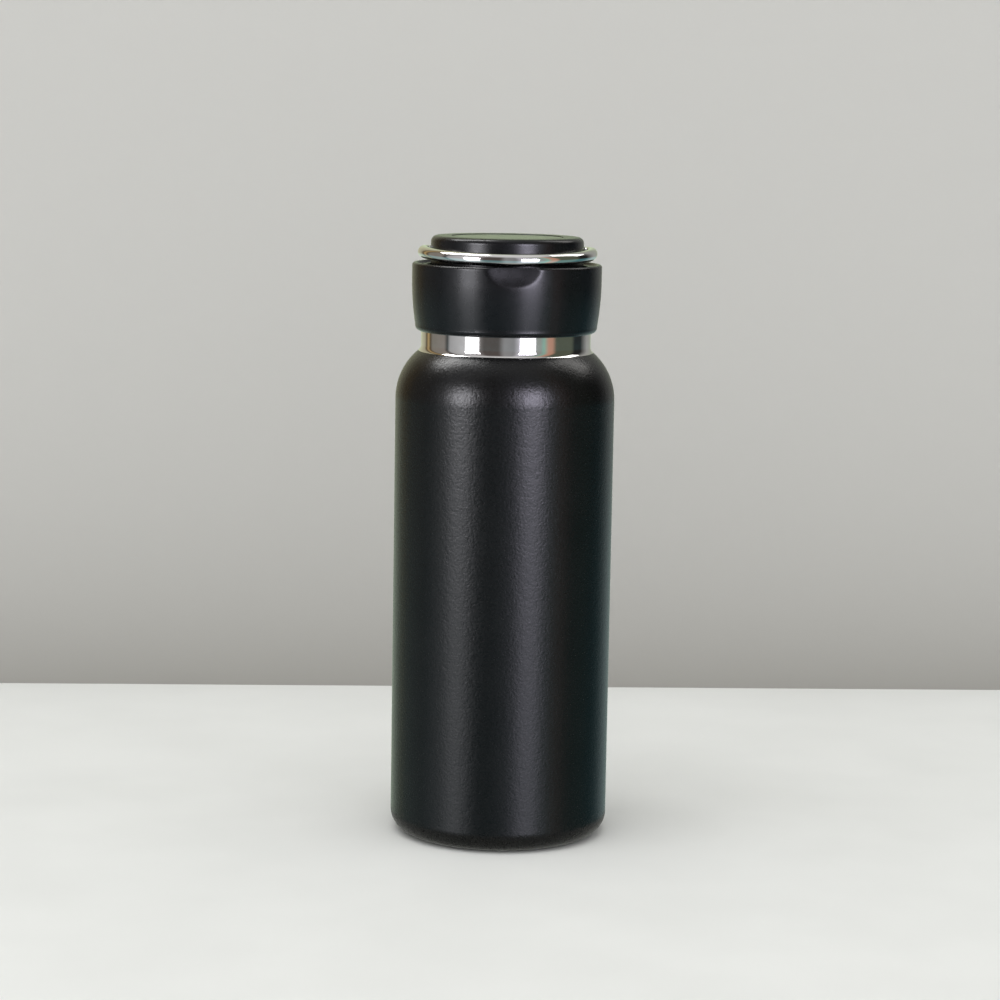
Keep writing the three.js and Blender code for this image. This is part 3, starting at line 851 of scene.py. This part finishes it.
def top_inlay():
    bottom, top, edge_r = low("top_inlay").z, high("top_inlay").z, radius("top_inlay")
    dish_depth = 0.12
    dish_r = edge_r - 0.6
    steps = 12
    outline = rounded([
        (0, bottom, 0),
        (edge_r, bottom, 0.15),
        (edge_r, top, 0.18),
        (dish_r, top, 0),
    ], closed=False)
    shares = [1 - k / steps for k in range(1, steps + 1)]
    outline += [Vector((dish_r * share, top - dish_depth * (1 - share ** 2))) for share in shares]
    add_piece("inlay_disc", turned(outline), "lid", INLAY_PLASTIC, "top_inlay")


def boss_screws():
    shank_r = 1.5
    thread_depth = 0.35
    pitch = 1.1
    head_height = 1.4
    slot_length, slot_width, slot_cut = 3, 0.7, 1.5
    for node, centre in screw_axes().items():
        tip, top = low(node).z, high(node).z
        head_r = radius(node)
        head = top - head_height
        outline = divided(rounded([
            (0, tip, 0),
            (shank_r - 0.9, tip, 0.2),
            (shank_r - thread_depth, tip + 1.2, 0.3),
            (shank_r - thread_depth, head, 0.1),
            (head_r, head, 0.15),
            (head_r, top, 0.7),
            (0, top, 0),
        ], closed=False), tip + 0.8, head, 0.12)

        def with_thread(r, z, angle, tip=tip, head=head):
            if abs(r - shank_r + thread_depth) > 0.02 or z > head - 1:
                return r, z
            phase = ((z - tip) / pitch - angle / (2 * math.pi)) % 1
            return r + thread_depth * smooth_step(1 - abs(phase - 0.5) / 0.3), z

        bm = turned(outline, 40, with_thread)
        slots = []
        for turn in (0, math.pi / 2):
            slot = bmesh.new()
            bmesh.ops.create_cube(slot, size=1)
            bmesh.ops.scale(slot, vec=(slot_length, slot_width, slot_cut), verts=slot.verts)
            bmesh.ops.rotate(slot, cent=(0, 0, 0), matrix=Matrix.Rotation(turn, 3, "Z"), verts=slot.verts)
            bmesh.ops.translate(slot, vec=(0, 0, top), verts=slot.verts)
            slots.append(slot)
        bm = carved(bm, slots)
        bmesh.ops.translate(bm, vec=(centre.x, centre.y, 0), verts=bm.verts)
        add_piece(f"fixing_{node}", bm, "lid", SCREW_STEEL, node)


# ---------- carry ring and bushes ----------
def pivot_bushes():
    bore_r = 1.7
    for side, node in ((-1, "pivot_bush_left"), (1, "pivot_bush_right")):
        near, far = sorted((abs(low(node).x), abs(high(node).x)))
        outline = rounded([
            (bore_r, near, 0.15), (BUSH_R, near, 0.15), (BUSH_R, far, 0.2), (bore_r, far, 0.2),
        ])
        bm = turned(outline, SMALL_COLUMNS)
        lay = Matrix.Rotation(side * math.pi / 2, 4, "Y")
        bmesh.ops.transform(bm, matrix=Matrix.Translation((0, 0, PIVOT_Z)) @ lay, verts=bm.verts)
        add_piece(f"ring_bush_{'left' if side < 0 else 'right'}", bm, "lid", BLACK_PLASTIC, node)


def ring_half():
    """(point, direction, wire radius) from a pin's tip to the ring's front, for the right half.

    The ring lies in the XY plane here.
    """
    reach = RING_R - RING_BEND_R
    join = math.asin(RING_BEND_R / reach)
    bend_x = reach * math.cos(join)
    shoulder_x = bend_x - 0.05
    out = Vector((1, 0, 0))
    straight = [
        (PIN_TIP_X, PIN_R - 0.3),
        (PIN_TIP_X + 0.3, PIN_R),
        (shoulder_x - 0.15, PIN_R),
        (shoulder_x, WIRE_R - 0.12),
        (shoulder_x + 0.12, WIRE_R),
    ]
    stations = [(Vector((x, 0, 0)), out, wire_r) for x, wire_r in straight]
    bend_steps = 18
    for k in range(1, bend_steps + 1):
        angle = math.pi / 2 - (math.pi / 2 + join) * k / bend_steps
        point = Vector((bend_x + RING_BEND_R * math.cos(angle), RING_BEND_R * (math.sin(angle) - 1), 0))
        if point.x > shoulder_x + 0.15:
            stations.append((point, Vector((math.sin(angle), -math.cos(angle), 0)), WIRE_R))
    arc_steps = 56
    for k in range(1, arc_steps + 1):
        angle = join + (math.pi / 2 - join) * k / arc_steps
        point = Vector((RING_R * math.cos(angle), -RING_R * math.sin(angle), 0))
        stations.append((point, Vector((-math.sin(angle), -math.cos(angle), 0)), WIRE_R))
    return stations


def carry_ring():
    right = ring_half()
    left = [(Vector((-p.x, p.y, 0)), Vector((d.x, -d.y, 0)), r) for p, d, r in reversed(right[:-1])]
    up = Vector((0, 0, 1))
    rows = []
    for point, direction, wire_r in right + left:
        across = direction.cross(up)
        rows.append([point + (across * math.cos(a) + up * math.sin(a)) * wire_r for a in even_columns(40)])
    rows = [[right[0][0]], *rows, [left[-1][0]]]
    bm = skin(rows, closed=False)
    tilt = Matrix.Rotation(RING_TILT, 4, "X")
    bmesh.ops.transform(bm, matrix=Matrix.Translation((0, 0, PIVOT_Z)) @ tilt, verts=bm.verts)
    add_piece("wire_carry_ring", bm, "ring", POLISHED_STEEL, "carry_ring")


outer_shell()
neck_ring()
inner_liner()
liner_base()
vacuum_base()
seal_bead()
getter()
base_cap()
lid_shell()
lid_liner()
lid_foam()
lid_gasket()
handle_boss()
top_inlay()
boss_screws()
pivot_bushes()
carry_ring()


# ---------- stage ----------
CAMERA_AZIMUTH = math.radians(-4.3)
CAMERA_DISTANCE = 0.929
CAMERA_HEIGHT = 0.2415
CAMERA_PITCH = math.radians(7.9)
CAMERA_ROLL = math.radians(0.97)
CAMERA_SIDE = -0.00105
MIRRORED_MARGIN = 14    # how far the mirrored part of the table reaches past the body
WALL_DISTANCE = 0.2355
WALL_TURN = math.radians(-1.5)


def camera():
    """A long lens slightly left of the front, looking down a little, with a slight roll."""
    turn = Matrix.Rotation(CAMERA_AZIMUTH, 3, "Z")
    level_right = turn @ Vector((1, 0, 0))
    level_forward = turn @ Vector((0, 1, 0))
    forward = level_forward * math.cos(CAMERA_PITCH) - Vector((0, 0, math.sin(CAMERA_PITCH)))
    up = level_right.cross(forward)
    right = level_right * math.cos(CAMERA_ROLL) + up * math.sin(CAMERA_ROLL)
    tilted_up = up * math.cos(CAMERA_ROLL) - level_right * math.sin(CAMERA_ROLL)
    data = bpy.data.cameras.new("camera")
    data.lens = 100.7
    data.sensor_width = 36
    data.clip_end = 20
    item = bpy.data.objects.new("camera", data)
    place = level_right * CAMERA_SIDE - level_forward * CAMERA_DISTANCE + Vector((0, 0, CAMERA_HEIGHT))
    facing = Matrix((right, tilted_up, -forward)).transposed().to_4x4()
    item.matrix_world = Matrix.Translation(place) @ facing
    bpy.context.scene.collection.objects.link(item)
    bpy.context.scene.camera = item


def stage_plane(name, size, place, material):
    """A flat stage surface that isn't mirrored in the flask and throws no shadow itself."""
    mesh = bpy.data.meshes.new(name)
    half = size / 2
    corners = [(-half, -half, 0), (half, -half, 0), (half, half, 0), (-half, half, 0)]
    mesh.from_pydata(corners, [], [(0, 1, 2, 3)])
    mesh.materials.append(material)
    item = bpy.data.objects.new(name, mesh)
    item.matrix_world = place
    item.visible_glossy = False
    item.visible_shadow = False
    bpy.context.scene.collection.objects.link(item)


def floor_paint():
    look = Look("floor_paint")
    look.mottled(60, (0.735, 0.745, 0.718), (0.762, 0.772, 0.745))
    look.roughness(look.noise(5), 0.85, 0.95)
    look.set("Specular IOR Level", 0.1)
    look.bump(look.noise(1.5), 0.02)
    return look.material


def wall_paint_and_shade():
    """Pale paint with painted shade that darkens it towards the table; seen from behind, the wall isn't
    there.
    """
    look = Look("wall_paint_and_shade")
    fade_height = 65
    # painted shade: the colour gets darker towards the table, where the wall meets it
    fade = look.calculated("EXPONENT", look.calculated("DIVIDE", look.axis("Y"), -fade_height))
    look.colour(fade, (0.612, 0.607, 0.584), (0.372, 0.362, 0.338))
    look.roughness(look.noise(5), 0.85, 0.95)
    look.set("Specular IOR Level", 0.0)
    look.bump(look.noise(2), 0.02)
    clear = look.nodes.new("ShaderNodeBsdfTransparent")
    behind = look.nodes.new("ShaderNodeNewGeometry").outputs["Backfacing"]
    mix = look.nodes.new("ShaderNodeMixShader")
    output = next(node for node in look.nodes if node.type == "OUTPUT_MATERIAL")
    look.join(behind, mix.inputs[0])
    look.join(look.shader.outputs["BSDF"], mix.inputs[1])
    look.join(clear.outputs["BSDF"], mix.inputs[2])
    look.join(mix.outputs["Shader"], output.inputs["Surface"])
    return look.material


def mirrored_table(material):
    """The table close around the foot, which only shows as a reflection in the flask."""
    bm = bmesh.new()
    bmesh.ops.create_circle(bm, cap_ends=True, segments=96, radius=(BODY_R + MIRRORED_MARGIN) * MM)
    mesh = bpy.data.meshes.new("mirrored_table")
    bm.to_mesh(mesh)
    bm.free()
    mesh.materials.append(material)
    item = bpy.data.objects.new("mirrored_table", mesh)
    item.visible_camera = False
    item.visible_diffuse = False
    item.visible_shadow = False
    bpy.context.scene.collection.objects.link(item)


def stage():
    table_paint = floor_paint()
    stage_plane("floor", 8, Matrix.Identity(4), table_paint)
    mirrored_table(table_paint)
    upright = Matrix.Rotation(WALL_TURN, 4, "Z") @ Matrix.Rotation(math.pi / 2, 4, "X")
    stage_plane("wall", 8, Matrix.Translation((0, WALL_DISTANCE, 0)) @ upright, wall_paint_and_shade())


def toward(azimuth, elevation, distance, target):
    """A place seen from the flask at an angle right of the camera and above the horizon."""
    angle = math.radians(azimuth) + CAMERA_AZIMUTH
    rise = math.radians(elevation)
    level = Vector((math.sin(angle), -math.cos(angle), 0)) * math.cos(rise)
    return target + (level + Vector((0, 0, math.sin(rise)))) * distance


def light(name, place, target, width, height, radiance, colour, diffuse, glossy):
    """A rectangular soft light; its radiance is what a mirror would show of it."""
    data = bpy.data.lights.new(name, "AREA")
    data.shape = "RECTANGLE"
    data.size = width
    data.size_y = height
    data.energy = 4 * radiance * width * height
    data.color = colour
    item = bpy.data.objects.new(name, data)
    facing = (place - target).to_track_quat("Z", "Y").to_matrix().to_4x4()
    item.matrix_world = Matrix.Translation(place) @ facing
    item.visible_camera = False
    item.visible_diffuse = diffuse
    item.visible_glossy = glossy
    bpy.context.scene.collection.objects.link(item)


# Placed where the highlights in the photo call for them.
WINDOWS = (
    # name, angle right of the camera, half width, lowest and highest elevation (degrees), radiance, colour
    ("left_window", -46, 10, -1, 23, 13, (0.95, 0.94, 1.0)),
    ("left_window_glow", -46, 10, -24, -1, 1.5, (0.94, 0.95, 1.0)),
    ("right_window", 29.6, 10.6, -1, 26, 13.2, (0.87, 0.83, 1.0)),
    ("right_window_glow", 29.6, 10.6, -24, -1, 2.3, (0.88, 0.86, 1.0)),
    ("left_high_window", -112, 8, 42, 78, 9.6, (1.0, 1.0, 1.0)),
    ("right_high_window", 121, 10, 30, 62, 2.8, (1.0, 0.98, 0.95)),
)


OVERHEAD_PLACE = Vector((-0.3, -0.5, 1.9))
OVERHEAD_SIZE = 1.6
OVERHEAD_RADIANCE = 1.5


def lights():
    """Windows that only show in glossy surfaces, and one large soft light from above for everything else."""
    middle = Vector((0, 0, 0.15))
    distance = 2.0
    for name, azimuth, half_width, lowest, highest, radiance, colour in WINDOWS:
        width = 2 * distance * math.tan(math.radians(half_width))
        height = 2 * distance * math.tan(math.radians((highest - lowest) / 2))
        place = toward(azimuth, (lowest + highest) / 2, distance, middle)
        light(name, place, middle, width, height, radiance, colour, diffuse=False, glossy=True)
    foot = Vector((0, 0, 0))
    light("overhead", OVERHEAD_PLACE, foot, OVERHEAD_SIZE, OVERHEAD_SIZE, OVERHEAD_RADIANCE, (1, 1, 1),
          diffuse=True, glossy=False)


# What glossy surfaces reflect of the room: angle right of the camera, colour. The first stops were read off
# the reflections along the neck band in the photo; they were then adjusted, and others added.
ROOM = (
    (-180, (0.58, 0.68, 0.46)),
    (-160, (0.55, 0.54, 0.38)),
    (-143, (0.42, 0.39, 0.27)),
    (-136, (0.10, 0.07, 0.04)),
    (-130, (0.50, 0.36, 0.17)),
    (-124, (0.10, 0.07, 0.04)),
    (-118, (0.24, 0.22, 0.19)),
    (-92, (0.26, 0.23, 0.21)),
    (-86, (0.05, 0.05, 0.05)),
    (-81, (0.42, 0.42, 0.43)),
    (-57, (0.60, 0.60, 0.62)),
    (-38, (0.30, 0.28, 0.28)),
    (-30, (0.10, 0.085, 0.08)),
    (-9.5, (0.10, 0.085, 0.08)),
    (-2, (0.30, 0.30, 0.31)),
    (11, (0.26, 0.26, 0.27)),
    (18, (0.55, 0.54, 0.60)),
    (37, (0.35, 0.37, 0.36)),
    (48, (0.33, 0.36, 0.34)),
    (53, (0.27, 0.50, 0.42)),
    (60, (0.55, 0.30, 0.22)),
    (66, (0.50, 0.28, 0.20)),
    (72, (0.10, 0.11, 0.08)),
    (100, (0.10, 0.11, 0.08)),
    (107, (0.02, 0.02, 0.02)),
    (122, (0.02, 0.02, 0.02)),
    (143, (0.35, 0.35, 0.34)),
    (165, (0.36, 0.38, 0.32)),
    (180, (0.58, 0.68, 0.46)),
)


CEILING = (0.76, 0.76, 0.77)
TABLE = (0.40, 0.40, 0.39)
LOW_GLOW = (0.06, 0.18, 0.20)       # added to the room below the horizon
SOFT_LIGHT = (0.92, 0.92, 0.93)     # what all but glossy reflections see


def ramp(tree, value, stops, start, end):
    """A colour that changes with value through (value, colour) stops."""
    node = tree.nodes.new("ShaderNodeValToRGB")
    elements = node.color_ramp.elements
    for _ in range(len(stops) - 2):
        elements.new(0.5)
    for element, (place, colour) in zip(elements, stops):
        element.position = (place - start) / (end - start)
        element.color = (*colour, 1)
    span = tree.nodes.new("ShaderNodeMapRange")
    span.inputs["From Min"].default_value = start
    span.inputs["From Max"].default_value = end
    tree.links.new(value, span.inputs["Value"])
    tree.links.new(span.outputs["Result"], node.inputs["Fac"])
    return node.outputs["Color"]


def world():
    """Pale to the camera, soft white light on surfaces, and a room to be mirrored in glossy ones."""
    made = bpy.data.worlds.new("room")
    made.use_nodes = True
    made.cycles.sampling_method = "NONE"
    bpy.context.scene.world = made
    tree = made.node_tree
    tree.nodes.clear()

    def math_node(operation, first, second=None):
        node = tree.nodes.new("ShaderNodeMath")
        node.operation = operation
        for target, source in zip(node.inputs, (first, second)):
            if isinstance(source, (int, float)):
                target.default_value = source
            elif source is not None:
                tree.links.new(source, target)
        return node.outputs["Value"]

    def mixed(share, first, second):
        node = tree.nodes.new("ShaderNodeMix")
        node.data_type = "RGBA"
        tree.links.new(share, node.inputs["Factor"])
        for target, source in ((node.inputs["A"], first), (node.inputs["B"], second)):
            if isinstance(source, tuple):
                target.default_value = (*source, 1)
            else:
                tree.links.new(source, target)
        return node.outputs["Result"]

    direction = tree.nodes.new("ShaderNodeTexCoord").outputs["Generated"]
    split = tree.nodes.new("ShaderNodeSeparateXYZ")
    tree.links.new(direction, split.inputs["Vector"])
    backwards = math_node("MULTIPLY", split.outputs["Y"], -1)
    world_angle = math_node("DEGREES", math_node("ARCTAN2", split.outputs["X"], backwards))
    angle = math_node("WRAP", math_node("SUBTRACT", world_angle, math.degrees(CAMERA_AZIMUTH)), 180)
    angle.node.inputs[2].default_value = -180
    elevation = math_node("DEGREES", math_node("ARCSINE", split.outputs["Z"]))

    black, white = (0, 0, 0), (1, 1, 1)
    room = ramp(tree, angle, ROOM, -180, 180)
    is_ceiling = ramp(tree, elevation, ((46, black), (70, white)), -90, 90)
    is_table = ramp(tree, elevation, ((-60, white), (-35, black)), -90, 90)
    low_glow = ramp(tree, elevation, ((-9, LOW_GLOW), (-4.5, black)), -90, 90)
    glowing = tree.nodes.new("ShaderNodeVectorMath")
    glowing.operation = "ADD"
    tree.links.new(room, glowing.inputs[0])
    tree.links.new(low_glow, glowing.inputs[1])
    above_table = mixed(is_ceiling, glowing.outputs["Vector"], CEILING)
    mirrored = mixed(is_table, above_table, TABLE)
    path = tree.nodes.new("ShaderNodeLightPath")
    seen = mixed(path.outputs["Is Glossy Ray"], SOFT_LIGHT, mirrored)
    background = tree.nodes.new("ShaderNodeBackground")
    output = tree.nodes.new("ShaderNodeOutputWorld")
    tree.links.new(seen, background.inputs["Color"])
    tree.links.new(background.outputs["Background"], output.inputs["Surface"])


camera()
stage()
lights()
world()
bpy.context.scene.view_settings.view_transform = "Standard"
